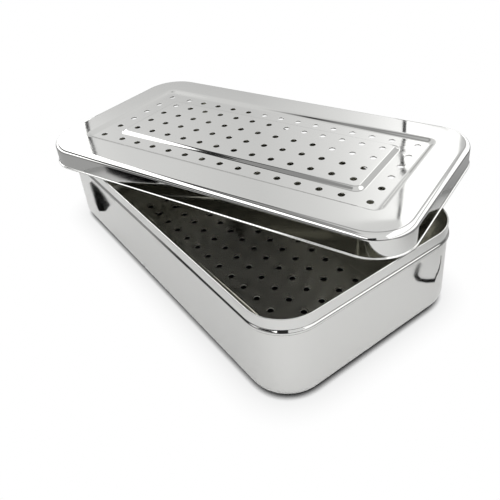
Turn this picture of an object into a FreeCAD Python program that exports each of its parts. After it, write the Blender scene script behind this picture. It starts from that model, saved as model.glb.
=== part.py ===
"""Perforated sterilization container: a deep drawn box and its pressed lid, both of polished steel sheet.

Units are millimetres. The frame is the box's own: the origin is at the middle of its underside, X runs along
the box, Y across it and Z up. The lid lies askew on the rim, as it is left when the box stands open to dry.
"""

import FreeCAD, Part
import Sketcher
import math
import os

# Driving dimensions
SIZES = {
    # outline and walls of the box
    "box_length": 200.0,
    "box_width": 103.0,
    "box_height": 42.0,
    "box_corner": 18.0,
    "box_sheet": 0.6,
    "foot_bend": 6.0,
    # stiffening bead round the walls
    "bead_drop": 6.4,
    "bead_rise": 0.7,
    "bead_height": 4.4,
    "bead_crown": 1.8,
    # raised and perforated panel in the floor
    "floor_end_border": 29.1,
    "floor_side_border": 23.5,
    "floor_rise": 1.5,
    "floor_run": 2.1,
    "floor_corner": 3.5,
    "floor_hole": 3.0,
    "floor_pitch": 10.7,
    "floor_edge": 5.5,
    # skirt of the lid
    "lid_sheet": 0.6,
    "lid_clearance": 0.15,
    "skirt_depth": 11.8,
    "lid_bend": 3.0,
    "hem_height": 1.3,
    "hem_flare": 0.5,
    # sunk ring and raised panel in the top of the lid
    "lid_end_border": 17.0,
    "lid_side_border": 18.4,
    "ring_end_width": 13.7,
    "ring_side_width": 11.9,
    "ring_depth": 1.6,
    "ring_run": 2.2,
    "ring_corner": 3.5,
    "ring_edge": 6.3,
    "lid_hole": 3.0,
    "lid_pitch": 10.8,
    "lid_edge": 5.5,
    # how the lid lies on the box
    "lid_turn": 20.5,
    "lid_shift_x": -8.0,
    "lid_shift_y": 17.9,
    "rest_clearance": 0.1,
}

# Sizes worked out from the driving dimensions, as expressions of the sheet's cells
BOX_END = "Sizes.box_length / 2"
BEAD_LEVEL = "(Sizes.box_height - Sizes.bead_drop)"
FLOOR_LENGTH = "(Sizes.box_length - 2 * Sizes.floor_end_border)"
FLOOR_WIDTH = "(Sizes.box_width - 2 * Sizes.floor_side_border)"
FLOOR_COLUMNS = f"(floor(({FLOOR_LENGTH} - 2 * Sizes.floor_edge) / Sizes.floor_pitch) + 1)"
FLOOR_ROWS = f"(floor(({FLOOR_WIDTH} - 2 * Sizes.floor_edge) / Sizes.floor_pitch) + 1)"
LID_REACH = "(Sizes.bead_rise + Sizes.lid_clearance + Sizes.lid_sheet)"
LID_LENGTH = f"(Sizes.box_length + 2 * {LID_REACH})"
LID_WIDTH = f"(Sizes.box_width + 2 * {LID_REACH})"
LID_CORNER = f"(Sizes.box_corner + {LID_REACH})"
RING_LENGTH = f"({LID_LENGTH} - 2 * Sizes.lid_end_border)"
RING_WIDTH = f"({LID_WIDTH} - 2 * Sizes.lid_side_border)"
PANEL_LENGTH = f"({RING_LENGTH} - 2 * Sizes.ring_end_width)"
PANEL_WIDTH = f"({RING_WIDTH} - 2 * Sizes.ring_side_width)"
LID_COLUMNS = f"(floor(({PANEL_LENGTH} - 2 * Sizes.lid_edge) / Sizes.lid_pitch) + 1)"
LID_ROWS = f"(floor(({PANEL_WIDTH} - 2 * Sizes.lid_edge) / Sizes.lid_pitch) + 1)"
RING_HOLES_X = f"({RING_LENGTH} - 2 * Sizes.ring_edge)"
RING_HOLES_Y = f"({RING_WIDTH} - 2 * Sizes.ring_edge)"

# Sides of the polygon that stands for each small round hole, and flats on the inner face of each bend
HOLE_SIDES = 8
BEND_FLATS = 3

# How a constraint names the sketch's own origin
ORIGIN_POINT = (-1, 1)


def make_sheet(doc):
    """Writes the driving dimensions to a spreadsheet, one row each."""
    sheet = doc.addObject("Spreadsheet::Sheet", "Sizes")
    for row, (name, value) in enumerate(SIZES.items(), 1):
        sheet.set(f"A{row}", name)
        sheet.set(f"B{row}", str(value))
        sheet.setAlias(f"B{row}", name)
    doc.recompute()
    return sheet


def number(feature, expression):
    """Returns what an expression of the sheet's cells comes to."""
    return float(feature.Document.Sizes.evalExpression(expression))


def new_sketch(body, name, plane, level=None):
    """Adds a sketch on one of the body's own origin planes, lifted by the level if there is one."""
    sketch = body.newObject("Sketcher::SketchObject", name)
    sketch.AttachmentSupport = (next(p for p in body.Origin.OriginFeatures if p.Role == plane), "")
    sketch.MapMode = "FlatFace"
    if level is not None:
        sketch.setExpression("AttachmentOffset.Base.z", level)
    return sketch


def bind(sketch, kind, *args):
    """Adds one dimension to a sketch and ties it to the expression that comes last."""
    expression = args[-1]
    constraint = Sketcher.Constraint(kind, *args[:-1], number(sketch, expression))
    index = sketch.addConstraint(constraint)
    sketch.setExpression(f"Constraints[{index}]", expression)


def rounded_rectangle(sketch, length, width, corner):
    """Draws a rectangle with round corners about the sketch's origin, its end side split on the X axis."""
    x, y, r = number(sketch, length) / 2, number(sketch, width) / 2, number(sketch, corner)
    first = sketch.GeometryCount
    points = [(x, 0), (x, y - r), (x - r, y), (r - x, y), (-x, y - r), (-x, r - y), (r - x, -y), (x - r, -y), (x, r - y)]
    centres = {1: (x - r, y - r), 3: (r - x, y - r), 5: (r - x, r - y), 7: (x - r, r - y)}
    sides = len(points)
    for side, start in enumerate(points):
        end = points[(side + 1) % sides]
        if side in centres:
            circle = Part.Circle(FreeCAD.Vector(*centres[side], 0), FreeCAD.Vector(0, 0, 1), r)
            turn = (side - 1) * math.pi / 4
            sketch.addGeometry(Part.ArcOfCircle(circle, turn, turn + math.pi / 2))
        else:
            sketch.addGeometry(Part.LineSegment(FreeCAD.Vector(*start, 0), FreeCAD.Vector(*end, 0)))
    for side in range(sides - 1):
        sketch.addConstraint(Sketcher.Constraint("Tangent", first + side, 2, first + side + 1, 1))
    sketch.addConstraint(Sketcher.Constraint("Coincident", first + sides - 1, 2, first, 1))
    for side in (0, 4, 8):
        sketch.addConstraint(Sketcher.Constraint("Vertical", first + side))
    for side in (2, 6):
        sketch.addConstraint(Sketcher.Constraint("Horizontal", first + side))
    for side in (3, 5, 7):
        sketch.addConstraint(Sketcher.Constraint("Equal", first + 1, first + side))
    sketch.addConstraint(Sketcher.Constraint("PointOnObject", first, 1, -1))
    sketch.addConstraint(Sketcher.Constraint("Symmetric", first + 2, 1, first + 6, 1, *ORIGIN_POINT))
    bind(sketch, "Radius", first + 1, corner)
    bind(sketch, "DistanceX", first + 4, 1, first, 1, length)
    bind(sketch, "DistanceY", first + 6, 1, first + 2, 1, width)


def left_arc(start, end, radius):
    """Returns the short arc that turns left on its way from start to end."""
    chord = (end - start).Length
    across = FreeCAD.Vector(start.y - end.y, end.x - start.x, 0).normalize()
    centre = (start + end) / 2 + across * math.sqrt(max(radius**2 - chord**2 / 4, 0))
    angles = [math.atan2(p.y - centre.y, p.x - centre.x) for p in (start, end)]
    return Part.ArcOfCircle(Part.Circle(centre, FreeCAD.Vector(0, 0, 1), radius), *angles)


def section(sketch, corners):
    """Draws a closed section. A corner is its X, its Z and, where a left-hand arc leaves it, the radius."""
    points = [FreeCAD.Vector(number(sketch, c[0]), number(sketch, c[1]), 0) for c in corners]
    sides = len(corners)
    for side, corner in enumerate(corners):
        start, end = points[side], points[(side + 1) % sides]
        if len(corner) == 2:
            sketch.addGeometry(Part.LineSegment(start, end))
        else:
            sketch.addGeometry(left_arc(start, end, number(sketch, corner[2])))
            bind(sketch, "Radius", side, corner[2])
    for side, corner in enumerate(corners):
        sketch.addConstraint(Sketcher.Constraint("Coincident", side, 2, (side + 1) % sides, 1))
        bind(sketch, "DistanceX", *ORIGIN_POINT, side, 1, corner[0])
        bind(sketch, "DistanceY", *ORIGIN_POINT, side, 1, corner[1])


def inner_bend(centre_x, centre_z, radius, first_turn, last_turn):
    """Returns the corners of a bend's inner face, in flats from one angle about its centre to the other."""
    step = (last_turn - first_turn) / BEND_FLATS
    turns = [first_turn + step * flat for flat in range(BEND_FLATS + 1)]
    return [(f"{centre_x} + ({radius}) * cos({t} deg)", f"{centre_z} + ({radius}) * sin({t} deg)") for t in turns]


def swept_sheet(body, name, outline, corners):
    """Sweeps a section of bent sheet round a rounded rectangle."""
    path = new_sketch(body, f"{name}_path", "XY_Plane")
    rounded_rectangle(path, *outline)
    profile = new_sketch(body, f"{name}_section", "XZ_Plane")
    section(profile, corners)
    body.Document.recompute()
    sweep = body.newObject("PartDesign::AdditivePipe", name)
    sweep.Profile = profile
    sweep.Spine = (path, [])
    return sweep


def flat_sheet(body, name, underside, thickness, outline, opening=None):
    """Pads a flat plate of sheet between an outline and, if there is one, an opening."""
    sketch = new_sketch(body, f"{name}_outline", "XY_Plane", underside)
    rounded_rectangle(sketch, *outline)
    if opening:
        rounded_rectangle(sketch, *opening)
    body.Document.recompute()
    pad = body.newObject("PartDesign::Pad", name)
    pad.Profile = sketch
    pad.setExpression("Length", thickness)
    return pad


def pressed_step(body, name, outline, outer_level, inner_level, run, sheet):
    """Sweeps the slope where the sheet steps from one level to another round a rounded rectangle.

    The outline is that of the middle of the slope, and the levels are those of the sheet's upper face.
    """
    middle = f"({outline[0]}) / 2"
    outside, inside = f"{middle} + {run} / 2", f"{middle} - {run} / 2"
    corners = [
        (outside, outer_level),
        (inside, inner_level),
        (inside, f"{inner_level} - {sheet}"),
        (outside, f"{outer_level} - {sheet}"),
    ]
    return swept_sheet(body, name, outline, corners)


def round_hole(sketch, x, y, diameter):
    """Draws one round hole as a polygon whose corners lie on a construction circle."""
    centre = FreeCAD.Vector(number(sketch, x), number(sketch, y), 0)
    radius = number(sketch, diameter) / 2
    angles = [2 * math.pi * (side - 0.5) / HOLE_SIDES for side in range(HOLE_SIDES)]
    corners = [centre + FreeCAD.Vector(radius * math.cos(a), radius * math.sin(a), 0) for a in angles]
    for side in range(HOLE_SIDES):
        sketch.addGeometry(Part.LineSegment(corners[side], corners[(side + 1) % HOLE_SIDES]))
    circle = sketch.addGeometry(Part.Circle(centre, FreeCAD.Vector(0, 0, 1), radius), True)
    for side in range(HOLE_SIDES):
        sketch.addConstraint(Sketcher.Constraint("Coincident", side, 2, (side + 1) % HOLE_SIDES, 1))
        sketch.addConstraint(Sketcher.Constraint("PointOnObject", side, 1, circle))
    for side in range(1, HOLE_SIDES):
        sketch.addConstraint(Sketcher.Constraint("Equal", 0, side))
    sketch.addConstraint(Sketcher.Constraint("Vertical", 0))
    bind(sketch, "Diameter", circle, diameter)
    bind(sketch, "DistanceX", *ORIGIN_POINT, circle, 3, x)
    bind(sketch, "DistanceY", *ORIGIN_POINT, circle, 3, y)


def perforate(body, name, hole, columns, column_pitch, rows, row_pitch):
    """Punches one hole through the sheet and repeats it on a grid about the body's middle."""
    sketch = new_sketch(body, f"{name}_outline", "XY_Plane")
    first_x = f"-({columns} - 1) * {column_pitch} / 2"
    first_y = f"-({rows} - 1) * {row_pitch} / 2"
    round_hole(sketch, first_x, first_y, hole)
    body.Document.recompute()
    punch = body.newObject("PartDesign::Pocket", f"{name}_punch")
    punch.Profile = sketch
    punch.Type = "ThroughAll"
    punch.Midplane = True
    body.Document.recompute()
    grid = body.newObject("PartDesign::LinearPattern", name)
    grid.Originals = [punch]
    grid.Direction = (sketch, ["H_Axis"])
    grid.Mode = "Spacing"
    grid.setExpression("Offset", column_pitch)
    grid.setExpression("Occurrences", columns)
    grid.Direction2 = (sketch, ["V_Axis"])
    grid.Mode2 = "Spacing"
    grid.setExpression("Offset2", row_pitch)
    grid.setExpression("Occurrences2", rows)
    grid.Spacings2 = [-1.0]
    body.Tip = grid
    body.Document.recompute()
    return grid


def new_body(doc, label):
    """Adds an empty body under the name of its piece."""
    body = doc.addObject("PartDesign::Body", label)
    body.Label = label
    return body


def wall_section():
    """Returns the section of the drawn wall: bent foot, wall, bead and plain cut rim, then back down inside."""
    sheet = "Sizes.box_sheet"
    outer_face, inner_face, bend_centre = BOX_END, f"{BOX_END} - {sheet}", f"{BOX_END} - Sizes.foot_bend"
    crest, hollow = f"{outer_face} + Sizes.bead_rise", f"{inner_face} + Sizes.bead_rise"
    bead_foot, bead_head = f"{BEAD_LEVEL} - Sizes.bead_height / 2", f"{BEAD_LEVEL} + Sizes.bead_height / 2"
    crown_foot, crown_head = f"{BEAD_LEVEL} - Sizes.bead_crown / 2", f"{BEAD_LEVEL} + Sizes.bead_crown / 2"
    return [
        (bend_centre, "0", "Sizes.foot_bend"),
        (outer_face, "Sizes.foot_bend"),
        (outer_face, bead_foot),
        (crest, crown_foot),
        (crest, crown_head),
        (outer_face, bead_head),
        (outer_face, "Sizes.box_height"),
        (inner_face, "Sizes.box_height"),
        (inner_face, bead_head),
        (hollow, crown_head),
        (hollow, crown_foot),
        (inner_face, bead_foot),
        *inner_bend(bend_centre, "Sizes.foot_bend", f"Sizes.foot_bend - {sheet}", 0, -90),
    ]


def skirt_section():
    """Returns the section of the lid's rolled edge, skirt and flared hem."""
    sheet = "Sizes.lid_sheet"
    outer_face = f"{LID_LENGTH} / 2"
    inner_face = f"{outer_face} - {sheet}"
    bend_centre = f"{outer_face} - Sizes.lid_bend"
    hem_edge = "-Sizes.skirt_depth"
    hem_top, hem_knee = f"{hem_edge} + Sizes.hem_height", f"{hem_edge} + Sizes.hem_height / 2"
    return [
        *inner_bend(bend_centre, "-Sizes.lid_bend", f"Sizes.lid_bend - {sheet}", 90, 0),
        (inner_face, hem_top),
        (f"{inner_face} + Sizes.hem_flare", hem_knee),
        (f"{inner_face} + Sizes.hem_flare", hem_edge),
        (f"{outer_face} + Sizes.hem_flare", hem_edge),
        (f"{outer_face} + Sizes.hem_flare", hem_knee),
        (outer_face, hem_top),
        (outer_face, "-Sizes.lid_bend", "Sizes.lid_bend"),
        (bend_centre, "0"),
    ]


def grown(outline, amount):
    """Returns the length, width and corner of a rounded rectangle that stands off from another by an amount."""
    length, width, corner = outline
    return f"{length} + 2 * ({amount})", f"{width} + 2 * ({amount})", f"{corner} + ({amount})"


def make_box(doc):
    """The box: a drawn shell with a bead round its walls and a raised, perforated floor panel."""
    body = new_body(doc, "box")
    sheet = "Sizes.box_sheet"
    outline = ("Sizes.box_length", "Sizes.box_width", "Sizes.box_corner")
    panel = (FLOOR_LENGTH, FLOOR_WIDTH, "Sizes.floor_corner")
    half_run = "Sizes.floor_run / 2"
    swept_sheet(body, "wall", outline, wall_section())
    flat_sheet(body, "foot", "0", sheet, grown(outline, "-Sizes.foot_bend"), grown(panel, half_run))
    pressed_step(body, "floor_step", panel, sheet, f"{sheet} + Sizes.floor_rise", "Sizes.floor_run", sheet)
    flat_sheet(body, "floor", "Sizes.floor_rise", sheet, grown(panel, f"-{half_run}"))
    perforate(
        body, "floor_holes", "Sizes.floor_hole", FLOOR_COLUMNS, "Sizes.floor_pitch", FLOOR_ROWS, "Sizes.floor_pitch"
    )
    return body


def make_lid(doc):
    """The lid: a pressed cap with a sunk ring, a raised panel and holes in both, turned askew on the rim."""
    body = new_body(doc, "lid")
    sheet = "Sizes.lid_sheet"
    outline = (LID_LENGTH, LID_WIDTH, LID_CORNER)
    ring = (RING_LENGTH, RING_WIDTH, "Sizes.ring_corner")
    panel = (PANEL_LENGTH, PANEL_WIDTH, "Sizes.ring_corner")
    half_run = "Sizes.ring_run / 2"
    sunk = "-Sizes.ring_depth"
    swept_sheet(body, "skirt", outline, skirt_section())
    flat_sheet(body, "border", f"-{sheet}", sheet, grown(outline, "-Sizes.lid_bend"), grown(ring, half_run))
    pressed_step(body, "ring_step", ring, "0", sunk, "Sizes.ring_run", sheet)
    flat_sheet(body, "ring", f"{sunk} - {sheet}", sheet, grown(ring, f"-{half_run}"), grown(panel, half_run))
    pressed_step(body, "panel_step", panel, sunk, "0", "Sizes.ring_run", sheet)
    flat_sheet(body, "panel", f"-{sheet}", sheet, grown(panel, f"-{half_run}"))
    hole, pitch = "Sizes.lid_hole", "Sizes.lid_pitch"
    perforate(body, "panel_holes", hole, LID_COLUMNS, pitch, LID_ROWS, pitch)
    perforate(body, "ring_side_holes", hole, LID_COLUMNS, pitch, "2", RING_HOLES_Y)
    perforate(body, "ring_end_holes", hole, "2", RING_HOLES_X, LID_ROWS, pitch)
    perforate(body, "ring_corner_holes", hole, "2", RING_HOLES_X, "2", RING_HOLES_Y)
    body.setExpression(".Placement.Base.x", "Sizes.lid_shift_x")
    body.setExpression(".Placement.Base.y", "Sizes.lid_shift_y")
    body.setExpression(".Placement.Base.z", "Sizes.box_height + Sizes.rest_clearance + Sizes.skirt_depth")
    body.setExpression(".Placement.Rotation.Angle", "Sizes.lid_turn")
    return body


def check(doc, pieces):
    """Stops the run if a feature failed or a piece isn't one valid solid."""
    for feature in doc.Objects:
        if {"Invalid", "Error"} & set(feature.State):
            raise RuntimeError(f"{feature.Name} failed: {feature.State}")
    for piece in pieces:
        shape = piece.Shape
        if shape.isNull() or not shape.isValid() or len(shape.Solids) != 1:
            raise RuntimeError(f"{piece.Label} is not one valid solid")


def main():
    """Builds both pieces, checks them and writes a STEP file of each."""
    doc = FreeCAD.newDocument("sterilization_container")
    make_sheet(doc)
    pieces = [make_box(doc), make_lid(doc)]
    doc.recompute()
    check(doc, pieces)
    os.makedirs("parts", exist_ok=True)
    for piece in pieces:
        piece.Shape.exportStep(f"parts/{piece.Label}.step")
        size = piece.Shape.optimalBoundingBox(False)
        print(f"{piece.Label}: {size.XLength:.1f} x {size.YLength:.1f} x {size.ZLength:.1f} mm")


main()
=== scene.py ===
"""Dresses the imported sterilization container: a drawn box and its pressed, perforated lid of polished steel.

Both pieces are bent and punched from one thickness of sheet, so both are built the same way. A section of
the sheet runs round a rectangle with round corners, flat plates fill in between, and round holes are punched
through the plates. Lengths are millimetres in the classes below and metres in Blender.
"""

import logging
import math
from dataclasses import dataclass
from enum import Enum
from typing import Any, NamedTuple

import bmesh
import bpy
from mathutils import Matrix, Vector
from mathutils.geometry import delaunay_2d_cdt

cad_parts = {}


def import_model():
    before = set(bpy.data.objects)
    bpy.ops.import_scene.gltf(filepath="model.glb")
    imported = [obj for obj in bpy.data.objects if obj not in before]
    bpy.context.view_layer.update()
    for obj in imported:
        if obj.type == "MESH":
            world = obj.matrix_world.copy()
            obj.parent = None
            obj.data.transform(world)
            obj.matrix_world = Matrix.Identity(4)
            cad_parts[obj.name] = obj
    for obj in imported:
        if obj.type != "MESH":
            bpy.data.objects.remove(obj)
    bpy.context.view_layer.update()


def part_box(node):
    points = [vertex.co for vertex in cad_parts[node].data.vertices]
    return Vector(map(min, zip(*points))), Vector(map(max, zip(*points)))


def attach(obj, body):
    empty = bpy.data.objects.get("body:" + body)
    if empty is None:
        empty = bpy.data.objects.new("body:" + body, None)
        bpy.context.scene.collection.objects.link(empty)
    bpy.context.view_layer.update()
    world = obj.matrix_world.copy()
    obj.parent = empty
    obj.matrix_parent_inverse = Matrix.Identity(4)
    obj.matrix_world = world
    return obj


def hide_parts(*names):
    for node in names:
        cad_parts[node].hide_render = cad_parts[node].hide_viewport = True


MM = 0.001
LOG = logging.getLogger("sterilization_container")

Point = tuple[float, float]
Ring = list[bmesh.types.BMVert]


class Body(Enum):
    """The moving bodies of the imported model."""

    BOX = "box"
    LID = "lid"


class Side(Enum):
    """The two faces of the sheet, each with the number of its finish."""

    OUTER = 0
    INNER = 1


class Ray(Enum):
    """The kinds of ray that a sheet of the studio can be hidden from."""

    CAMERA = "camera"
    DIFFUSE = "diffuse"
    GLOSSY = "glossy"
    TRANSMISSION = "transmission"
    SHADOW = "shadow"


# Sheet metal


@dataclass(frozen=True)
class RoundedOutline:
    """A rectangle with round corners about the piece's middle, seen in plan."""

    half_length: float
    half_width: float
    corner: float

    def grown(self, amount: float) -> "RoundedOutline":
        """Returns the outline that stands off from this one by the amount, outwards where it is positive."""
        return RoundedOutline(self.half_length + amount, self.half_width + amount, self.corner + amount)

    def points(self, chords: int) -> list[Point]:
        """Walks once round the outline.

        Args:
            chords: how many chords each round corner is drawn with.

        Returns:
            The points, anticlockwise from where the right end meets its upper corner.
        """
        points = []
        for quarter, (side_x, side_y) in enumerate(((1, 1), (-1, 1), (-1, -1), (1, -1))):
            centre_x = side_x * (self.half_length - self.corner)
            centre_y = side_y * (self.half_width - self.corner)
            for chord in range(chords + 1):
                turn = (quarter + chord / chords) * math.pi / 2
                x = centre_x + self.corner * math.cos(turn)
                y = centre_y + self.corner * math.sin(turn)
                points.append((x, y))
        return points


class SectionPoint(NamedTuple):
    """A point of the sheet's outer face: its stand-off from the outline, its level, and the way it faces."""

    out: float
    level: float
    face_out: float
    face_up: float

    def through(self, depth: float) -> Point:
        """Returns the stand-off and level of the point that lies this deep under the outer face."""
        return self.out - depth * self.face_out, self.level - depth * self.face_up


def bend(centre: Point, radius: float, first: float, last: float, chords: int) -> list[SectionPoint]:
    """Rounds the outer face about a centre.

    Args:
        centre: the stand-off and level of the bend's centre.
        radius: the radius of the outer face.
        first: the angle that the face starts with, in degrees, where 0 faces out and 90 faces up.
        last: the angle that it ends with.
        chords: how many chords the bend is drawn with.

    Returns:
        The points of the bend, both ends among them.
    """
    points = []
    for chord in range(chords + 1):
        angle = math.radians(first + (last - first) * chord / chords)
        face = math.cos(angle), math.sin(angle)
        points.append(SectionPoint(centre[0] + radius * face[0], centre[1] + radius * face[1], *face))
    return points


def swell(middle: float, height: float, rise: float, chords: int) -> list[SectionPoint]:
    """Draws a soft bead that stands out from an upright face, from its head down to its foot.

    Args:
        middle: the level of the bead's crest.
        height: how tall the bead is.
        rise: how far its crest stands out.
        chords: how many chords it is drawn with.

    Returns:
        The points of the bead's outer face.
    """
    points = []
    for chord in range(chords + 1):
        turn = math.pi * (2 * chord / chords - 1)
        slope = rise * math.pi / height * math.sin(-turn)
        length = math.hypot(1, slope)
        level = middle - height * turn / (2 * math.pi)
        points.append(SectionPoint(rise * (1 + math.cos(turn)) / 2, level, 1 / length, slope / length))
    return points


def step(start: float, end: float, outs: Point, up: int, chords: int) -> list[SectionPoint]:
    """Draws the soft slope where a level face steps to another level.

    Args:
        start: the level of the outer end.
        end: the level of the inner end.
        outs: the stand-offs of the outer and the inner end.
        up: 1 where the outer face looks up and -1 where it looks down.
        chords: how many chords the slope is drawn with.

    Returns:
        The points of the slope's outer face.
    """
    run = outs[0] - outs[1]
    points = []
    for chord in range(chords + 1):
        share = chord / chords
        level = start + (end - start) * (1 - math.cos(math.pi * share)) / 2
        slope = (end - start) * math.pi / (2 * run) * math.sin(math.pi * share)
        length = math.hypot(1, slope)
        points.append(SectionPoint(outs[0] - run * share, level, up * slope / length, up / length))
    return points


@dataclass(frozen=True)
class HoleGrid:
    """Rows of equal round holes about a centre."""

    columns: int
    rows: int
    pitch_x: float
    pitch_y: float

    def centres(self) -> list[Point]:
        """Returns the middle of each hole."""
        return [
            ((column - (self.columns - 1) / 2) * self.pitch_x, (row - (self.rows - 1) / 2) * self.pitch_y)
            for row in range(self.rows)
            for column in range(self.columns)
        ]


@dataclass(frozen=True)
class Punch:
    """What a punch leaves: a round hole whose upper edge is rolled and whose lower edge is crisp.

    Its wall has the finish of one side of the sheet.
    """

    radius: float
    rolled: float = 0.1
    crisp: float = 0.06
    sides: int = 32
    chords: int = 3
    wall_side: Side = Side.INNER

    def wall(self, top: float, bottom: float) -> list[Point]:
        """Draws the section of the hole's wall, from the upper face to the lower.

        Args:
            top: the level of the upper face.
            bottom: the level of the lower face.

        Returns:
            The radius and level of each ring of the wall.
        """
        rings = []
        for chord in range(self.chords + 1):
            turn = math.pi / 2 * chord / self.chords
            radius = self.radius + self.rolled * (1 - math.sin(turn))
            rings.append((radius, top - self.rolled * (1 - math.cos(turn))))
        rings.append((self.radius, bottom + self.crisp))
        rings.append((self.radius + self.crisp, bottom))
        return rings


class SheetPiece:
    """Builds the closed mesh of one piece of sheet, with both faces, its free edge and its holes."""

    def __init__(self, thickness: float, up: int, corner_chords: int = 20) -> None:
        """Starts an empty piece.

        Args:
            thickness: how thick the sheet is.
            up: 1 where the outer face of the piece's flat parts looks up, and -1 where it looks down.
            corner_chords: how many chords each round corner is drawn with.
        """
        self.mesh = bmesh.new()
        self.thickness = thickness
        self.up = up
        self.corner_chords = corner_chords

    def ring(self, outline: RoundedOutline, out: float, level: float) -> Ring:
        """Returns the new vertices of one ring round the piece."""
        points = outline.grown(out).points(self.corner_chords)
        return [self.mesh.verts.new((x * MM, y * MM, level * MM)) for x, y in points]

    def face(self, corners: Ring, side: Side) -> None:
        """Adds one smooth facet.

        Args:
            corners: its corners, anticlockwise as seen from outside the metal.
            side: the face of the sheet that it belongs to.
        """
        facet = self.mesh.faces.new(corners)
        facet.material_index = side.value
        facet.smooth = True

    def strip(self, upper: Ring, lower: Ring, side: Side = Side.OUTER) -> None:
        """Joins two rings with a strip of quads that look outwards where the first ring is the upper one.

        Args:
            upper: the ring that the strip starts from.
            lower: the ring that it ends at.
            side: the face of the sheet that it belongs to.
        """
        count = len(upper)
        for here in range(count):
            there = (here + 1) % count
            self.face([upper[here], lower[here], lower[there], upper[there]], side)

    def band(self, first: Ring, second: Ring, side: Side = Side.OUTER) -> None:
        """Adds one strip of a sweep, turned so that its facets look out of the metal."""
        self.strip(*(first, second)[:: -self.up], side)

    def sweep(self, outline: RoundedOutline, section: list[SectionPoint]) -> tuple[Ring, ...]:
        """Runs a section of the sheet round an outline.

        Args:
            outline: the outline that the section's stand-offs are measured from.
            section: the points of the outer face, in order.

        Returns:
            The first ring of the outer and of the inner face, then the last of each.
        """
        outer = [self.ring(outline, point.out, point.level) for point in section]
        inner = [self.ring(outline, *point.through(self.thickness)) for point in section]
        for first, second in zip(outer, outer[1:]):
            self.band(first, second)
        for first, second in zip(inner, inner[1:]):
            self.band(second, first, Side.INNER)
        return outer[0], inner[0], outer[-1], inner[-1]

    def join(self, first: tuple[Ring, ...], second: tuple[Ring, ...]) -> None:
        """Fills the flat between the end of one sweep and the start of the next on both faces."""
        self.band(first[2], second[0])
        self.band(second[1], first[3], Side.INNER)

    def free_edge(
        self, outline: RoundedOutline, end: SectionPoint, swept: tuple[Ring, ...], chords: int = 4
    ) -> None:
        """Rounds the cut edge where a sweep starts, from the outer face over to the inner one.

        Args:
            outline: the outline that the sweep ran round.
            end: the point of the section that the sweep started with.
            swept: the rings that the sweep returned.
            chords: how many chords the edge is drawn with.
        """
        radius = self.thickness / 2
        centre = end.through(radius)
        previous = swept[0]
        for chord in range(1, chords):
            turn = math.pi * chord / chords
            across, past = radius * math.cos(turn), -radius * math.sin(turn) * self.up
            out = centre[0] + across * end.face_out + past * end.face_up
            level = centre[1] + across * end.face_up - past * end.face_out
            current = self.ring(outline, out, level)
            self.band(current, previous)
            previous = current
        self.band(swept[1], previous)

    def plate(
        self,
        rim: tuple[Ring, ...],
        opening: tuple[Ring, ...] | None,
        holes: list[Point],
        punch: Punch,
    ) -> None:
        """Fills both faces of a flat and punches holes through it.

        Args:
            rim: the ring round the flat on the outer and on the inner face.
            opening: the rings round the opening in its middle, or None.
            holes: the middle of each hole.
            punch: what each hole looks like.
        """
        sides = (Side.OUTER, Side.INNER)[:: self.up]
        top, bottom = (rim[side.value][0].co.z / MM for side in sides)
        edges = [self.hole(x, y, punch, top, bottom) for x, y in holes]
        for level, side in enumerate(sides):
            blank = opening[side.value] if opening else None
            loops = [rim[side.value], *([blank] if blank else []), *(pair[level] for pair in edges)]
            for facet in self.triangles(loops):
                self.face(facet if level == 0 else facet[::-1], side)

    def hole(self, x: float, y: float, punch: Punch, top: float, bottom: float) -> tuple[Ring, Ring]:
        """Adds the wall of one hole.

        Args:
            x: where the hole's middle lies along the piece.
            y: where it lies across the piece.
            punch: what the hole looks like.
            top: the level of the upper face.
            bottom: the level of the lower face.

        Returns:
            The hole's rings on the upper and on the lower face.
        """
        turns = [2 * math.pi * side / punch.sides for side in range(punch.sides)]
        rings = []
        for radius, level in punch.wall(top, bottom):
            places = [(x + radius * math.cos(turn), y + radius * math.sin(turn), level) for turn in turns]
            rings.append([self.mesh.verts.new(Vector(place) * MM) for place in places])
        for first, second in zip(rings, rings[1:]):
            self.strip(second, first, punch.wall_side)
        return rings[0], rings[-1]

    def triangles(self, loops: list[Ring], nearest: float = 1e-6) -> list[Ring]:
        """Divides a flat into triangles.

        Args:
            loops: the ring round the flat, then the ring of each opening in it.
            nearest: how far apart two corners are at least.

        Returns:
            The corners of each triangle that lies on metal, anticlockwise from above.
        """
        corners = [corner for loop in loops for corner in loop]
        owners = [number for number, loop in enumerate(loops) for _ in loop]
        places = [Vector((corner.co.x, corner.co.y)) / MM for corner in corners]
        edges, start = [], 0
        for loop in loops:
            edges += [(start + here, start + (here + 1) % len(loop)) for here in range(len(loop))]
            start += len(loop)
        whole_hull = 0
        _, _, triangles, origins, _, _ = delaunay_2d_cdt(places, edges, [], whole_hull, nearest)
        metal = []
        for triangle in triangles:
            indices = [origins[index][0] for index in triangle]
            rings = {owners[index] for index in indices}
            # A triangle between corners of one opening's ring fills the opening
            if len(rings) > 1 or rings == {0}:
                metal.append([corners[index] for index in indices])
        return metal

    def finished(self, name: str, place: Matrix, finishes: list["SteelSheet"]) -> bpy.types.Object:
        """Turns the sheet into an object.

        Args:
            name: the object's name.
            place: where the piece lies. It goes into the mesh.
            finishes: the finish of the outer face and that of the inner face.

        Returns:
            The piece, with smooth bends between flats that shade dead flat.
        """
        data = bpy.data.meshes.new(name)
        self.mesh.transform(place)
        self.mesh.normal_update()
        self.mesh.to_mesh(data)
        self.mesh.free()
        for finish in finishes:
            data.materials.append(finish.material())
        piece = bpy.data.objects.new(name, data)
        bpy.context.scene.collection.objects.link(piece)
        piece.modifiers.new("flat_faces_rule", "WEIGHTED_NORMAL")
        return piece


# Finishes


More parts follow.
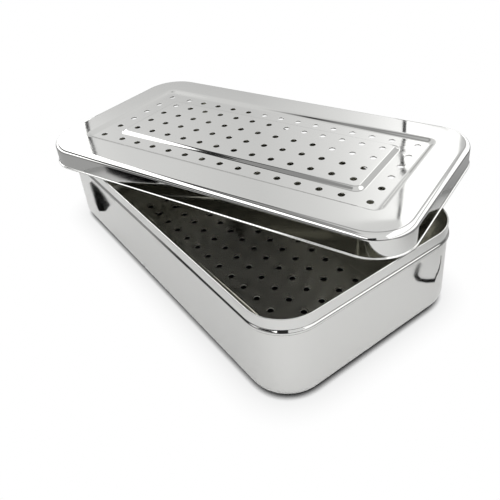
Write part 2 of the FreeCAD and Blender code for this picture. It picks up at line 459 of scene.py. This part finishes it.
def linear(colour: str) -> tuple[float, ...]:
    """Turns an sRGB colour into linear values, by the curve of the sRGB standard.

    Args:
        colour: the colour, written as hex digits.

    Returns:
        Its linear red, green and blue, and an alpha of 1.
    """
    parts = [int(colour[start : start + 2], 16) / 255 for start in (1, 3, 5)]
    values = [part / 12.92 if part <= 0.04045 else ((part + 0.055) / 1.055) ** 2.4 for part in parts]
    return (*values, 1.0)


def empty_material(name: str) -> bpy.types.Material:
    """Makes a material that has no nodes yet.

    Args:
        name: the material's name.

    Returns:
        The material.
    """
    made = bpy.data.materials.new(name)
    made.use_nodes = True
    made.node_tree.nodes.clear()
    return made


def add_node(
    tree: bpy.types.NodeTree, kind: str, links: dict[str | int, Any] | None = None, **settings: Any
) -> bpy.types.Node:
    """Adds one node.

    Args:
        tree: the node tree that it goes into.
        kind: the node's type.
        links: what goes into its inputs, by their name or number: another node's output, or a plain value.
        settings: the node's own settings.

    Returns:
        The new node.
    """
    node = tree.nodes.new(kind)
    for name, value in settings.items():
        setattr(node, name, value)
    for key, value in (links or {}).items():
        if isinstance(value, bpy.types.NodeSocket):
            tree.links.new(value, node.inputs[key])
        else:
            node.inputs[key].default_value = value
    return node


@dataclass(frozen=True)
class Grain:
    """A random pattern: how many millimetres its grains are across, its finer layers, and their strength."""

    size: float
    layers: float
    strength: float

    def over(self, place: bpy.types.NodeSocket) -> dict[str | int, Any]:
        """Returns what makes a noise of this pattern over a place in object coordinates, in metres."""
        scale = 1 / (self.size * MM)
        return {"Vector": place, "Scale": scale, "Detail": self.layers, "Roughness": self.strength}


@dataclass(frozen=True)
class SteelSheet:
    """A face of stainless steel sheet, with slow waves, clouds of haze and fine strokes along the piece.

    Turn is how far the piece lies turned, in degrees. Roughness is that of its clearest places, haze is what
    the clouds add to it at most, and smear is how far the surface's lines draw out what it mirrors.
    """

    name: str
    turn: float
    colour: str
    roughness: float
    haze: float
    wave_height: float
    smear: float
    waves: Grain = Grain(size=45.0, layers=1.0, strength=0.3)
    clouds: Grain = Grain(size=15.0, layers=4.0, strength=0.65)
    cloud_range: Point = (0.35, 0.75)
    # Strokes are drawn ten times as wide as the wheel's or the roll's own, which are too fine to show
    strokes: Grain = Grain(size=0.5, layers=3.0, strength=0.6)
    stroke_length: float = 14.0
    stroke_height: float = 0.0004

    def material(self) -> bpy.types.Material:
        """Draws the finish.

        Returns:
            The finish as a material.
        """
        made = empty_material(self.name)
        tree = made.node_tree
        place = add_node(tree, "ShaderNodeTexCoord").outputs["Object"]
        waves = add_node(tree, "ShaderNodeTexNoise", self.waves.over(place))
        clouds = add_node(tree, "ShaderNodeTexNoise", self.clouds.over(place))
        stretched = {
            "Vector": place,
            "Rotation": (0.0, 0.0, math.radians(self.turn)),
            "Scale": (self.stroke_length / self.strokes.size, 1.0, 1.0),
        }
        along = add_node(tree, "ShaderNodeMapping", stretched, vector_type="TEXTURE")
        strokes = add_node(tree, "ShaderNodeTexNoise", self.strokes.over(along.outputs[0]))
        gloss = add_node(
            tree,
            "ShaderNodeMapRange",
            {
                "Value": clouds.outputs["Fac"],
                "From Min": self.cloud_range[0],
                "From Max": self.cloud_range[1],
                "To Min": self.roughness,
                "To Max": self.roughness + self.haze,
            },
        )
        slow = {"Height": waves.outputs["Fac"], "Distance": self.wave_height * MM}
        waved = add_node(tree, "ShaderNodeBump", slow)
        stroked = add_node(
            tree,
            "ShaderNodeBump",
            {
                "Height": strokes.outputs["Fac"],
                "Distance": self.stroke_height * MM,
                "Normal": waved.outputs[0],
            },
        )
        shader = add_node(
            tree,
            "ShaderNodeBsdfPrincipled",
            {
                "Base Color": linear(self.colour),
                "Metallic": 1.0,
                "Roughness": gloss.outputs[0],
                "Anisotropic": self.smear,
                "Normal": stroked.outputs[0],
            },
        )
        add_node(tree, "ShaderNodeOutputMaterial", {"Surface": shader.outputs[0]})
        return made


@dataclass(frozen=True)
class PolishedSteel(SteelSheet):
    """The outer face: deep drawn, then polished on a cloth wheel.

    The wheel leaves a near mirror, so the eye sees the room and the table in it, bent by the faint waves
    that drawing leaves in a flat, and softened by a haze of very fine strokes that run along the piece.
    """

    turn: float = 0.0
    colour: str = "#cfcfcd"
    roughness: float = 0.05
    haze: float = 0.05
    wave_height: float = 0.03
    smear: float = 0.0


@dataclass(frozen=True)
class RolledSteel(SteelSheet):
    """The inner face: left as the mill rolled it, since no wheel reaches it.

    The fine lines of the roll smear what it mirrors across them, so the eye sees no picture in it, only a
    dull and faintly warm grey that turns dark where the lid shuts out the light.
    """

    turn: float = 0.0
    colour: str = "#c0bfb5"
    roughness: float = 0.24
    haze: float = 0.02
    wave_height: float = 0.004
    smear: float = 0.9


# The two pieces


@dataclass(frozen=True)
class DrawnBox:
    """The box: walls with a stiffening bead, a bent foot and a raised floor panel with rows of holes.

    Length and width are those of the walls, without the bead. The holes are 0.2 mm wider than those of the
    solids, because at that size they look like the ones in the photograph.
    """

    length: float
    width: float
    height: float
    corner: float = 18.0
    sheet: float = 0.6
    foot_bend: float = 6.0
    bead_drop: float = 6.4
    bead_height: float = 3.6
    bead_rise: float = 0.7
    floor_end_border: float = 29.1
    floor_side_border: float = 23.5
    floor_rise: float = 1.5
    floor_run: float = 2.1
    floor_corner: float = 3.5
    hole: float = 3.2
    floor_holes: HoleGrid = HoleGrid(columns=13, rows=5, pitch_x=10.7, pitch_y=10.7)
    bead_chords: int = 16
    bend_chords: int = 10

    @classmethod
    def packed(cls) -> "DrawnBox":
        """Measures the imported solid.

        Returns:
            The box at the solid's size.
        """
        low, high = (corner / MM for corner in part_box(Body.BOX.value))
        bead = 2 * cls.bead_rise
        return cls(high.x - low.x - bead, high.y - low.y - bead, high.z)

    def build(self) -> bpy.types.Object:
        """Builds the box as one piece of sheet, its outer face looking out and down.

        Returns:
            The box with its finishes.
        """
        piece = SheetPiece(self.sheet, up=-1)
        outline = RoundedOutline(self.length / 2, self.width / 2, self.corner)
        panel = RoundedOutline(
            self.length / 2 - self.floor_end_border,
            self.width / 2 - self.floor_side_border,
            self.floor_corner,
        )
        rim = SectionPoint(0, self.height - self.sheet / 2, 1, 0)
        bead = swell(self.height - self.bead_drop, self.bead_height, self.bead_rise, self.bead_chords)
        foot = bend((-self.foot_bend, self.foot_bend), self.foot_bend, 0, -90, self.bend_chords)
        wall = piece.sweep(outline, [rim, *bead, *foot])
        piece.free_edge(outline, rim, wall)
        half_run = self.floor_run / 2
        rise = step(0, self.floor_rise, (half_run, -half_run), piece.up, self.bend_chords)
        slope = piece.sweep(panel, rise)
        piece.join(wall, slope)
        piece.plate(slope[2:], None, self.floor_holes.centres(), Punch(self.hole / 2))
        return piece.finished("box_shell", Matrix(), self.finishes())

    def finishes(self) -> list[SteelSheet]:
        """Returns the finish of the outside and that of the inside."""
        return [PolishedSteel("polished_steel_box"), RolledSteel("rolled_steel_box")]


@dataclass(frozen=True)
class LidPlace:
    """How the lid lies on the rim: turned and shifted from where it would close the box."""

    turn: float = 20.5
    shift_x: float = -8.0
    shift_y: float = 17.9

    def matrix(self, top: float) -> Matrix:
        """Returns the lid's place for a top face at this level."""
        shift = Matrix.Translation(Vector((self.shift_x, self.shift_y, top)) * MM)
        return shift @ Matrix.Rotation(math.radians(self.turn), 4, "Z")


@dataclass(frozen=True)
class PressedLid:
    """The lid: a skirt with a flared hem, a rolled edge, and holes in a sunk ring and in the panel inside it.

    The borders lie between the lid's edge and the ring. The ring's holes stand in one file, ring_edge in from
    its outer edge, and all holes are as wide as the box's. The underside's colour is a darker steel than the
    box's
    inside, as painted shade: the little of it that shows in the photograph is nearly black.
    """

    length: float
    width: float
    corner: float
    sheet: float = 0.6
    skirt_depth: float = 11.8
    edge_bend: float = 3.0
    hem_height: float = 1.3
    hem_flare: float = 0.5
    end_border: float = 17.0
    side_border: float = 18.4
    ring_end_width: float = 13.7
    ring_side_width: float = 11.9
    ring_depth: float = 1.45
    ring_run: float = 3.8
    panel_run: float = 3.2
    ring_corner: float = 3.5
    ring_edge: float = 6.3
    hole: float = 3.2
    pitch: float = 10.8
    columns: int = 13
    rows: int = 4
    clearance: float = 0.15
    # Painted shade: the underside's colour is darker than the rolled steel's own
    underside: str = "#77766f"
    hem_chords: int = 6
    bend_chords: int = 10
    step_chords: int = 12

    @classmethod
    def over(cls, box: DrawnBox) -> "PressedLid":
        """Returns the lid that slips over the bead of this box."""
        reach = box.bead_rise + cls.clearance + cls.sheet
        return cls(box.length + 2 * reach, box.width + 2 * reach, box.corner + reach)

    def build(self, lying: LidPlace) -> bpy.types.Object:
        """Builds the lid as one piece of sheet, its outer face looking out and up, and lays it in its place.

        Args:
            lying: how it lies on the box.

        Returns:
            The lid with its finishes.
        """
        piece = SheetPiece(self.sheet, up=1)
        outline = RoundedOutline(self.length / 2, self.width / 2, self.corner)
        ring = RoundedOutline(
            self.length / 2 - self.end_border, self.width / 2 - self.side_border, self.ring_corner
        )
        panel = RoundedOutline(
            ring.half_length - self.ring_end_width, ring.half_width - self.ring_side_width, self.ring_corner
        )
        hem = self.hem()
        edge = bend((-self.edge_bend, -self.edge_bend), self.edge_bend, 0, 90, self.bend_chords)
        skirt = piece.sweep(outline, [*hem, *edge])
        piece.free_edge(outline, hem[0], skirt)
        half = self.ring_run / 2
        down = piece.sweep(ring, step(0, -self.ring_depth, (half, -half), piece.up, self.step_chords))
        half = self.panel_run / 2
        rise = piece.sweep(panel, step(-self.ring_depth, 0, (half, -half), piece.up, self.step_chords))
        piece.join(skirt, down)
        punch = Punch(self.hole / 2, wall_side=Side.OUTER)
        piece.plate(down[2:], rise[:2], self.ring_holes(ring), punch)
        grid = HoleGrid(self.columns, self.rows, self.pitch, self.pitch)
        piece.plate(rise[2:], None, grid.centres(), punch)
        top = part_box(Body.LID.value)[1].z / MM
        return piece.finished("lid_shell", lying.matrix(top), self.finishes(lying.turn))

    def finishes(self, turn: float) -> list[SteelSheet]:
        """Returns the finish of the top and that of the underside, their strokes along the turned lid."""
        # The underside's darker colour is painted shade
        underside = RolledSteel("rolled_steel_lid", turn, self.underside)
        return [PolishedSteel("polished_steel_lid", turn), underside]

    def hem(self) -> list[SectionPoint]:
        """Draws the section of the flared hem, from its edge up to the skirt.

        Returns:
            The points of its outer face.
        """
        foot = -self.skirt_depth
        head = foot + self.hem_height
        knee = head - self.hem_height / 2
        points = [SectionPoint(self.hem_flare, foot + self.sheet / 2, 1, 0)]
        for chord in range(self.hem_chords + 1):
            share = chord / self.hem_chords
            slope = self.hem_flare / (head - knee) * math.pi / 2 * math.sin(math.pi * share)
            size = math.hypot(1, slope)
            out = self.hem_flare * (1 + math.cos(math.pi * share)) / 2
            points.append(SectionPoint(out, knee + (head - knee) * share, 1 / size, slope / size))
        return points

    def ring_holes(self, ring: RoundedOutline) -> list[Point]:
        """Places the holes that stand in one file all round the sunk ring.

        Args:
            ring: the ring's outer edge.

        Returns:
            The middle of each hole.
        """
        across = 2 * (ring.half_width - self.ring_edge)
        along = 2 * (ring.half_length - self.ring_edge)
        sides = HoleGrid(self.columns, 2, self.pitch, across).centres()
        ends = HoleGrid(2, self.rows, along, self.pitch).centres()
        corners = HoleGrid(2, 2, along, across).centres()
        return sides + ends + corners


# The studio


@dataclass(frozen=True)
class Photographer:
    """The camera, where perspective in the photograph puts it.

    Right and down are the directions of the picture's sides, and facing is the way that the camera looks over
    the table, in degrees. Focal length, image width and centre are pixels. The centre is what the lens points
    straight at.
    """

    place: tuple[float, float, float] = (215.573, -128.623, 182.619)
    right: tuple[float, float, float] = (0.6146, 0.7865, -0.0608)
    down: tuple[float, float, float] = (0.3769, -0.3604, -0.8532)
    focal_pixels: float = 573.96
    image_pixels: float = 500.0
    centre_pixels: Point = (280.0, 190.0)
    sensor: float = 36.0
    nearest: float = 10.0
    facing: float = 144.1

    def build(self) -> None:
        """Adds the camera to the scene and makes it the one in use."""
        lens = bpy.data.cameras.new("camera")
        lens.sensor_width = self.sensor
        lens.lens = self.focal_pixels / self.image_pixels * self.sensor
        lens.shift_x = (self.image_pixels / 2 - self.centre_pixels[0]) / self.image_pixels
        lens.shift_y = (self.centre_pixels[1] - self.image_pixels / 2) / self.image_pixels
        lens.clip_start = self.nearest * MM
        camera = bpy.data.objects.new("camera", lens)
        right = Vector(self.right).normalized()
        up = -Vector(self.down)
        up = (up - up.dot(right) * right).normalized()
        turn = Matrix((right, up, right.cross(up))).transposed().to_4x4()
        camera.matrix_world = Matrix.Translation(Vector(self.place) * MM) @ turn
        bpy.context.scene.collection.objects.link(camera)
        bpy.context.scene.camera = camera

    def on_table(self, aside: float, ahead: float, level: float = 0.0) -> Vector:
        """Returns the place of a point that is given from the camera's foot.

        Args:
            aside: how far the point lies to the right of the line that the camera looks along.
            ahead: how far it lies in front of the camera.
            level: its height over the table.

        Returns:
            The point in the frame of the box, in millimetres.
        """
        facing = math.radians(self.facing)
        forward = Vector((math.cos(facing), math.sin(facing), 0))
        right = Vector((math.sin(facing), -math.cos(facing), 0))
        foot = Vector((self.place[0], self.place[1], level))
        return foot + right * aside + forward * ahead


def staged(name: str, mesh: bmesh.types.BMesh, finish: bpy.types.Material) -> bpy.types.Object:
    """Turns a mesh into a part of the studio.

    Args:
        name: the object's name.
        mesh: its mesh, in metres. It is freed.
        finish: what it is made of.

    Returns:
        The object.
    """
    data = bpy.data.meshes.new(name)
    mesh.to_mesh(data)
    mesh.free()
    data.materials.append(finish)
    sheet = bpy.data.objects.new(name, data)
    bpy.context.scene.collection.objects.link(sheet)
    return sheet


class Pin(NamedTuple):
    """A point of a cloth: its place from the camera's foot, its height, and how bright the cloth is there."""

    aside: float
    ahead: float
    level: float
    glow: float


def upright(aside: float, ahead: float, glows: tuple[tuple[Point, float], ...]) -> list[Pin]:
    """Returns the pins of an upright line of a cloth, from pairs of levels and the glow between each pair."""
    return [Pin(aside, ahead, level, glow) for levels, glow in glows for level in levels]


@dataclass(frozen=True)
class LightTent:
    """The small tent of white cloth round the box, lit from outside, with dark seams, rods and a way in.

    Only the steel and the paper see it. The camera looks through it at plain white. Its walls are measured
    from the camera's foot: left and right aside from it, back and front ahead of it. The way in is behind the
    camera. Soft edge and far edge are how gently the way in and the right wall's dim end turn bright. A glow
    of 1 is plain white, and each glow is chosen for what the steel mirrors in the photograph.
    """

    camera: Photographer
    left: float = -185.0
    right: float = 130.0
    back: float = 520.0
    front_left: float = -363.0
    front_right: float = -48.0
    height: float = 290.0
    seam: float = 3.0
    way_in: float = 220.0
    soft_edge: float = 10.0
    far_edge: float = 6.0
    roof_split: Point = (-75.0, -45.0)
    left_glow: float = 2.47
    far_left_glow: float = 1.05
    near_left_glow: float = 1.0
    strip_glow: float = 0.35
    right_glow: float = 1.9
    far_right_glow: float = 0.85
    patch_share: float = 0.42
    rod_glow: float = 0.15
    front_glow: float = 1.0
    roof_glow: float = 0.95
    dim_roof_glow: float = 0.4
    front_roof_glow: float = 1.0
    slot_glow: float = 0.03
    foot_glow: float = 0.5
    room_glow: float = 0.03

    def build(self) -> None:
        """Hangs the walls and the roof, and fills the rest of the room with near darkness."""
        cloth = self.cloth()
        self.hang("left_cloth", self.left_wall(), cloth)
        self.hang("back_cloth", self.back_wall(), cloth)
        self.hang("right_cloth", self.right_wall(), cloth)
        self.hang("front_cloth", self.front_wall(), cloth)
        self.hang("roof_cloth", self.roof(), cloth)
        self.room()

    def cloth(self) -> bpy.types.Material:
        """Draws white cloth with lamps behind it.

        Returns:
            The cloth's glow as a material.
        """
        made = empty_material("lit_cloth")
        tree = made.node_tree
        glow = add_node(tree, "ShaderNodeAttribute", attribute_name="glow")
        light = add_node(tree, "ShaderNodeEmission", {"Strength": glow.outputs["Fac"]})
        add_node(tree, "ShaderNodeOutputMaterial", {"Surface": light.outputs[0]})
        return made

    def hang(self, name: str, pins: list[list[Pin]], cloth: bpy.types.Material) -> None:
        """Hangs one cloth, which only the steel and the paper see.

        Args:
            name: the cloth's name.
            pins: its points, row by row.
            cloth: what it is made of.
        """
        mesh = bmesh.new()
        layer = mesh.verts.layers.float.new("glow")
        grid = [[mesh.verts.new(self.camera.on_table(*pin[:3]) * MM) for pin in row] for row in pins]
        for vertices, row in zip(grid, pins):
            for vertex, pin in zip(vertices, row):
                vertex[layer] = pin.glow
        for low, high in zip(grid, grid[1:]):
            for here in range(len(low) - 1):
                mesh.faces.new((low[here], low[here + 1], high[here + 1], high[here]))
        sheet = staged(name, mesh, cloth)
        sheet.visible_camera = False
        sheet.visible_shadow = False

    def left_wall(self) -> list[list[Pin]]:
        """Draws the left wall, with a dim strip along the table and a dark wedge over it.

        The wedge opens towards the camera, where the strip and the top of the wall are dark too.

        Returns:
            The pins of the cloth, row by row.
        """
        full, high, near = self.left_glow, self.far_left_glow, self.near_left_glow
        grey, strip, dark = self.foot_glow, self.strip_glow, self.slot_glow
        # The wedge's lower and upper edge at each upright of pins, and the glows round it
        parts = (
            ({self.back - self.seam: (91, 93), 430: (91, 93)}, (strip, full, full, high, high)),
            ({362: (88, 91), 325: (76, 90), 300: (74, 92), 250: (70, 98)}, (strip, full, dark, full, dark)),
            ({222: (66, 112), self.front_left: (64, 140)}, (dark, near, dark, full, dark)),
        )
        uprights = []
        for edges, (low, base, wedge, upper, top) in parts:
            for ahead, (under, over) in edges.items():
                # Each pair of levels with the glow between them, from the table to the roof
                glows = (
                    ((3, 18), grey),
                    ((20, 46), low),
                    ((48, under - 1), base),
                    ((under, over - 2), wedge),
                    ((over, 188), full),
                    ((215, 234), upper),
                    ((242, self.height), top),
                )
                uprights.append(upright(self.left, ahead, glows))
        return [list(row) for row in zip(*uprights)]

    def back_wall(self) -> list[list[Pin]]:
        """Draws the back wall, which is brightest at its right end and dark along the table.

        Returns:
            The pins of the cloth, row by row.
        """
        # The glow along the wall, from its left end to its right one
        glows = {
            self.left + self.seam: 1.05,
            -150: 0.97,
            -87: 0.93,
            -64: 0.90,
            -21: 0.88,
            35: 0.99,
            67: 1.10,
            97: 1.28,
            self.right - self.seam: 1.50,
        }
        # The share of that glow at each level
        shares = {0: 0.3, 50: 0.4, 65: 0.70, 120: 0.85, 150: 0.96, 200: 1.0, self.height: 1.0}
        return [
            [Pin(aside, self.back, level, glow * share) for aside, glow in glows.items()]
            for level, share in shares.items()
        ]

    def right_wall(self) -> list[list[Pin]]:
        """Draws the right wall, shaded along the table, with a dark and a grey rod and a dim far end.

        Its grey patch is what the lid's right step mirrors.

        Returns:
            The pins of the cloth, row by row.
        """
        full, grey, rod = self.right_glow, self.foot_glow, self.rod_glow
        # The glow at each level up to the grey rod, with bright cloth between the rods
        lower = {3: 0.7 * grey, 30: grey, 32: rod, 42: rod, 44: 1.8, 83: 1.6, 85: grey, 93: grey}
        # At each upright, the level that the dim part reaches, the most glow there, and the patch's share
        parts = {
            self.back - self.seam: (160, self.far_right_glow, 1.0),
            430: (130, self.far_right_glow, 1.0),
            400: (118, self.far_right_glow, 1.0),
            380: (115, full, 1.0),
            365: (115, full, 1.0),
            358: (115, full, self.patch_share),
            268: (115, full, self.patch_share),
            260: (115, full, 1.0),
            self.front_right: (115, full, 1.0),
        }
        uprights = []
        for ahead, (top, most, share) in parts.items():
            glows = {level: min(glow, most) for level, glow in lower.items()}
            glows.update({level: min(full, most) * share for level in (95, 110, top)})
            glows.update({level: full * share for level in (top + self.far_edge, self.height)})
            uprights.append([Pin(self.right, ahead, level, glow) for level, glow in glows.items()])
        return [list(row) for row in zip(*uprights)]

    def front_wall(self) -> list[list[Pin]]:
        """Draws the wall behind the camera, whose left part is the dark way in.

        Returns:
            The pins of the cloth, row by row.
        """
        bright, dark = self.front_glow, self.slot_glow
        slope = (self.front_right - self.front_left) / (self.right - self.left)
        uprights = []
        for aside, glow in {self.left: dark, 12: dark, 20: bright, self.right: bright}.items():
            ahead = self.front_left + (aside - self.left) * slope
            glows = (
                ((3, 44), min(glow, self.foot_glow)),
                ((46, self.way_in), glow),
                ((self.way_in + self.soft_edge, self.height), bright),
            )
            uprights.append(upright(aside, ahead, glows))
        return [list(row) for row in zip(*uprights)]

    def roof(self) -> list[list[Pin]]:
        """Draws the roof, with a slot across it that is dark on the left and dim on the right.

        Returns:
            The pins of the cloth, row by row.
        """
        bright, dim, dark, front = self.roof_glow, self.dim_roof_glow, self.slot_glow, self.front_roof_glow
        # The glow of the left and of the right half, from the back to the front
        halves = {
            self.back: (bright, bright),
            390: (bright, bright),
            372: (dim, 0.7),
            362: (dark, dim),
            322: (dark, dim),
            312: (dim, 0.6),
            250: (dim, bright),
            150: (dim, bright),
            60: (front, front),
            self.front_left: (front, front),
        }
        asides = (self.left, *self.roof_split, self.right)
        return [
            [Pin(aside, ahead, self.height, glow) for aside, glow in zip(asides, (left, left, right, right))]
            for ahead, (left, right) in halves.items()
        ]

    def room(self) -> None:
        """Makes the world: the dark room outside the tent, which the camera sees as plain white."""
        world = bpy.data.worlds.new("room")
        bpy.context.scene.world = world
        world.use_nodes = True
        tree = world.node_tree
        tree.nodes.clear()
        seen = add_node(tree, "ShaderNodeLightPath").outputs["Is Camera Ray"]
        glow = {"Factor": seen, "A": self.room_glow, "B": 1.0}
        strength = add_node(tree, "ShaderNodeMix", glow, data_type="FLOAT").outputs[0]
        light = add_node(tree, "ShaderNodeBackground", {"Color": linear("#ffffff"), "Strength": strength})
        add_node(tree, "ShaderNodeOutputWorld", {"Surface": light.outputs[0]})


# The outline of the box's flat foot. No light gets under it, so a black sheet in it paints that shade, which
# the camera sees through the holes
FOOTPRINT = ((-82, -46), (82, -46), (94, -34), (94, 34), (82, 46), (-82, 46), (-94, 34), (-94, -34))

# Black cards on the table that only the steel mirrors, as painted dark reflections. Each makes one of the dark
# marks in the steel
CARDS = {
    "hook_card": (
        (126, 56), (124, 51), (121, 46), (117.5, 44), (113.5, 46.5), (111, 50), (111, 55),
        (107, 62.5), (106, 69), (108, 74), (110.5, 73.5), (108.8, 69), (109.8, 63), (113.3, 55.6),
        (113.3, 51.5), (115, 49), (117.5, 47), (119.8, 48), (122.3, 51.8), (124.8, 56.2),
    ),
    "wedge_card": (
        (-122, -66), (-110, -63), (-95, -59), (-85, -57), (-82, -60),
        (-87, -65), (-100, -67), (-113, -68), (-124, -68),
    ),
    "skirt_card": (
        (-110, -160), (-95, -141), (-88, -131), (-75, -124), (-62, -119), (-48, -116),
        (-30, -200), (-110, -200),
    ),
}


@dataclass(frozen=True)
class Table:
    """What the box stands on: white paper for the steel and light, plain white for the camera, a sheet of
    painted shade and cards.

    The paper ends under the camera. It and the cards lie a hair below the plain white. Shadow reach and
    contact reach are how near the object has to be to shade the plain white softly and darkly. The contact is
    darkest up to the first share of open sky over it and gone from the second on.
    """

    camera: Photographer
    reach: float = 2000.0
    colour: str = "#f8f8f8"
    paper_front: float = 10.0
    paper_level: float = -0.1
    card_level: float = -0.05
    painted_shade_level: float = 0.01
    card_glow: float = 0.001
    shadow_reach: float = 14.0
    shadow_power: float = 0.25
    contact_reach: float = 5.0
    contact_sky: Point = (0.3, 0.62)
    contact_glow: float = 0.03
    shadow_samples: int = 16

    def build(self) -> None:
        """Lays the paper for the steel and the light, the floor for the camera, the sheet of painted shade and
        the cards.
        """
        far, near = self.reach, self.paper_front
        ahead = ((-far, near), (far, near), (far, far), (-far, far))
        corners = [self.camera.on_table(*corner, self.paper_level) for corner in ahead]
        self.lay("paper", corners, self.paper()).visible_camera = False
        around = ((-far, -far), (far, -far), (far, far), (-far, far))
        floor = self.lay("floor", self.flat(around, 0), self.backdrop())
        self.only_seen_by(floor, Ray.CAMERA)
        black = self.black()
        # The black sheet under the box is painted shade, seen only by the camera
        under = self.lay("painted_shade_under_box", self.flat(FOOTPRINT, self.painted_shade_level), black)
        self.only_seen_by(under, Ray.CAMERA)
        # Each card is a painted dark reflection, which only glossy rays see
        for name, outline in CARDS.items():
            card = self.lay(name, self.flat(outline, self.card_level), black)
            self.only_seen_by(card, Ray.GLOSSY)

    def flat(self, outline: tuple[Point, ...], level: float) -> list[Vector]:
        """Returns the corners of an outline at this level."""
        return [Vector((*corner, level)) for corner in outline]

    def only_seen_by(self, sheet: bpy.types.Object, seeing: Ray) -> None:
        """Hides a sheet from all rays but one kind."""
        for ray in Ray:
            setattr(sheet, f"visible_{ray.value}", ray is seeing)

    def lay(self, name: str, corners: list[Vector], finish: bpy.types.Material) -> bpy.types.Object:
        """Lays one flat sheet.

        Args:
            name: the sheet's name.
            corners: its corners in order.
            finish: what it is made of.

        Returns:
            The sheet.
        """
        mesh = bmesh.new()
        mesh.faces.new([mesh.verts.new(corner * MM) for corner in corners])
        return staged(name, mesh, finish)

    def paper(self) -> bpy.types.Material:
        """Draws matt white paper that the tent lights.

        Returns:
            The paper as a material.
        """
        made = empty_material("white_paper")
        tree = made.node_tree
        look = {"Base Color": linear(self.colour), "Roughness": 1.0, "Specular IOR Level": 0.0}
        paint = add_node(tree, "ShaderNodeBsdfPrincipled", look)
        add_node(tree, "ShaderNodeOutputMaterial", {"Surface": paint.outputs[0]})
        return made

    def black(self) -> bpy.types.Material:
        """Draws black card, which gives back next to nothing, for the painted shade under the box and the
        painted dark reflections.

        Returns:
            The card as a material.
        """
        made = empty_material("painted_dark_card")
        tree = made.node_tree
        light = add_node(tree, "ShaderNodeEmission", {"Strength": self.card_glow})
        add_node(tree, "ShaderNodeOutputMaterial", {"Surface": light.outputs[0]})
        return made

    def backdrop(self) -> bpy.types.Material:
        """Draws plain white that keeps the soft shadow where the object stands close over it.

        Returns:
            The white as a material.
        """
        made = empty_material("white_backdrop")
        tree = made.node_tree
        wide, close = (
            add_node(
                tree, "ShaderNodeAmbientOcclusion", {"Distance": reach * MM}, samples=self.shadow_samples
            ).outputs["AO"]
            for reach in (self.shadow_reach, self.contact_reach)
        )
        soft = add_node(tree, "ShaderNodeMath", {0: wide, 1: self.shadow_power}, operation="POWER")
        contact = add_node(
            tree,
            "ShaderNodeMapRange",
            {
                "Value": close,
                "From Min": self.contact_sky[0],
                "From Max": self.contact_sky[1],
                "To Min": self.contact_glow,
                "To Max": 1.0,
            },
        )
        both = {0: soft.outputs[0], 1: contact.outputs[0]}
        shade = add_node(tree, "ShaderNodeMath", both, operation="MULTIPLY")
        light = add_node(tree, "ShaderNodeEmission", {"Strength": shade.outputs[0]})
        add_node(tree, "ShaderNodeOutputMaterial", {"Surface": light.outputs[0]})
        return made


def seat(piece: bpy.types.Object, body: Body) -> None:
    """Seats a piece on its body and lets it stand for that body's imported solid.

    Args:
        piece: the piece.
        body: the body that it moves with.
    """
    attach(piece, body.value)
    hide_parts(body.value)
    LOG.info("%s: %d faces", piece.name, len(piece.data.polygons))


def main() -> None:
    """Builds the object and its studio."""
    logging.basicConfig(level=logging.INFO)
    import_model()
    box = DrawnBox.packed()
    seat(box.build(), Body.BOX)
    seat(PressedLid.over(box).build(LidPlace()), Body.LID)
    camera = Photographer()
    camera.build()
    LightTent(camera).build()
    Table(camera).build()
    bpy.context.scene.view_settings.view_transform = "Standard"


if __name__ == "__main__":
    main()
